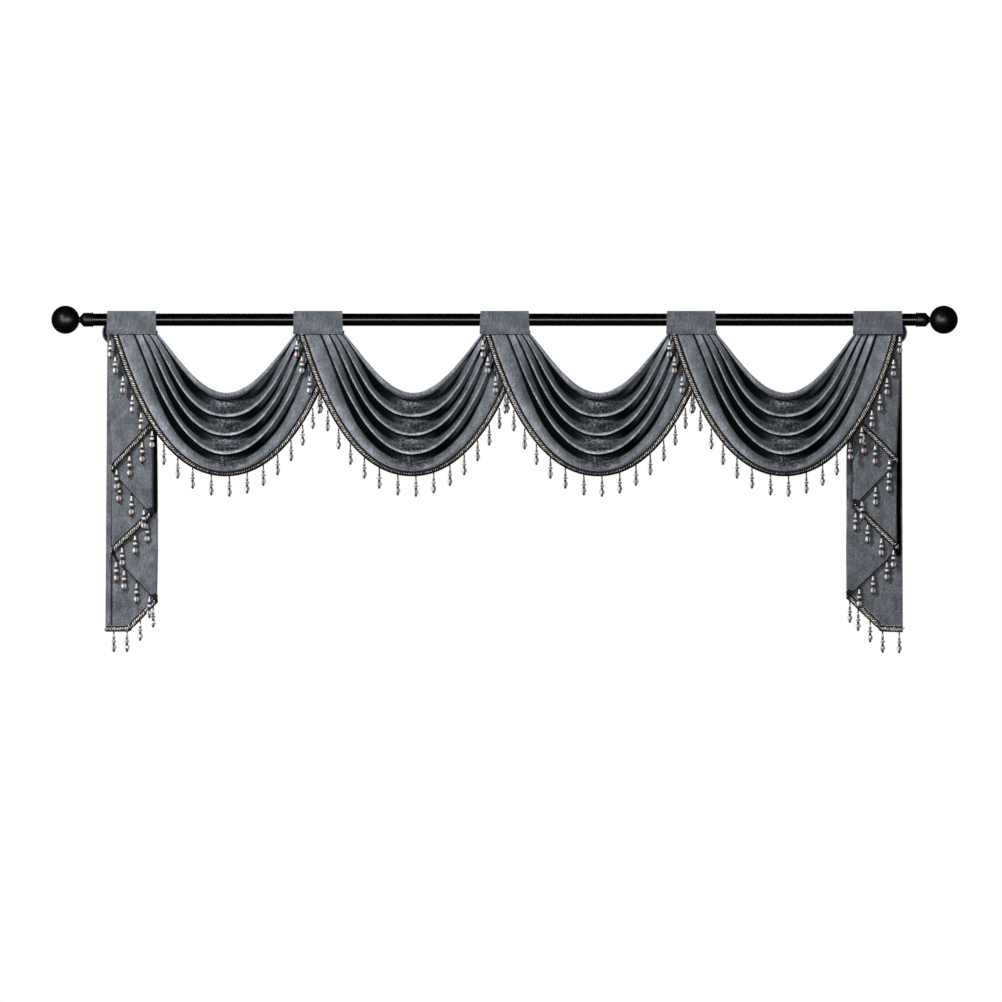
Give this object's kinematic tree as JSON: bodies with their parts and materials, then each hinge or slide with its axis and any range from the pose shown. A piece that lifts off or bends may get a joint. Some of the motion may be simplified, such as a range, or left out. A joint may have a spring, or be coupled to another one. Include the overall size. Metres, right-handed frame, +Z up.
{
  "type": "swag and tail drape on a curtain rod",
  "caption": "Grey chenille swag and tail drape with beaded braid, hung by flat headings from a black ball-ended curtain rod on wall brackets.",
  "frame": {"origin": "on the wall plane, half way along the rod and level with its axis", "axes": "+X along the rod to the right as seen from the room, +Y into the wall, +Z up"},
  "size_m": [2.2664, 0.1381, 0.869],
  "materials": {
    "chenille": "brushed chenille, mottled blue-grey",
    "beaded_braid": "champagne and black twisted braid with clear and rose beads",
    "black_metal": "gloss black enamel"
  },
  "bodies": {
    "root": {"rod": "black_metal", "finial_left": "black_metal", "bracket_plate_left": "black_metal", "bracket_arm_left": "black_metal", "finial_right": "black_metal", "bracket_plate_right": "black_metal", "bracket_arm_right": "black_metal", "heading_1": "chenille", "heading_2": "chenille", "heading_3": "chenille", "heading_4": "chenille", "heading_5": "chenille", "swag_1": "chenille", "swag_trim_1": "beaded_braid", "swag_2": "chenille", "swag_trim_2": "beaded_braid", "swag_3": "chenille", "swag_trim_3": "beaded_braid", "swag_4": "chenille", "swag_trim_4": "beaded_braid", "tail_left": "chenille", "tail_trim_left": "beaded_braid", "tail_right": "chenille", "tail_trim_right": "beaded_braid"}
  },
  "joints": []
}
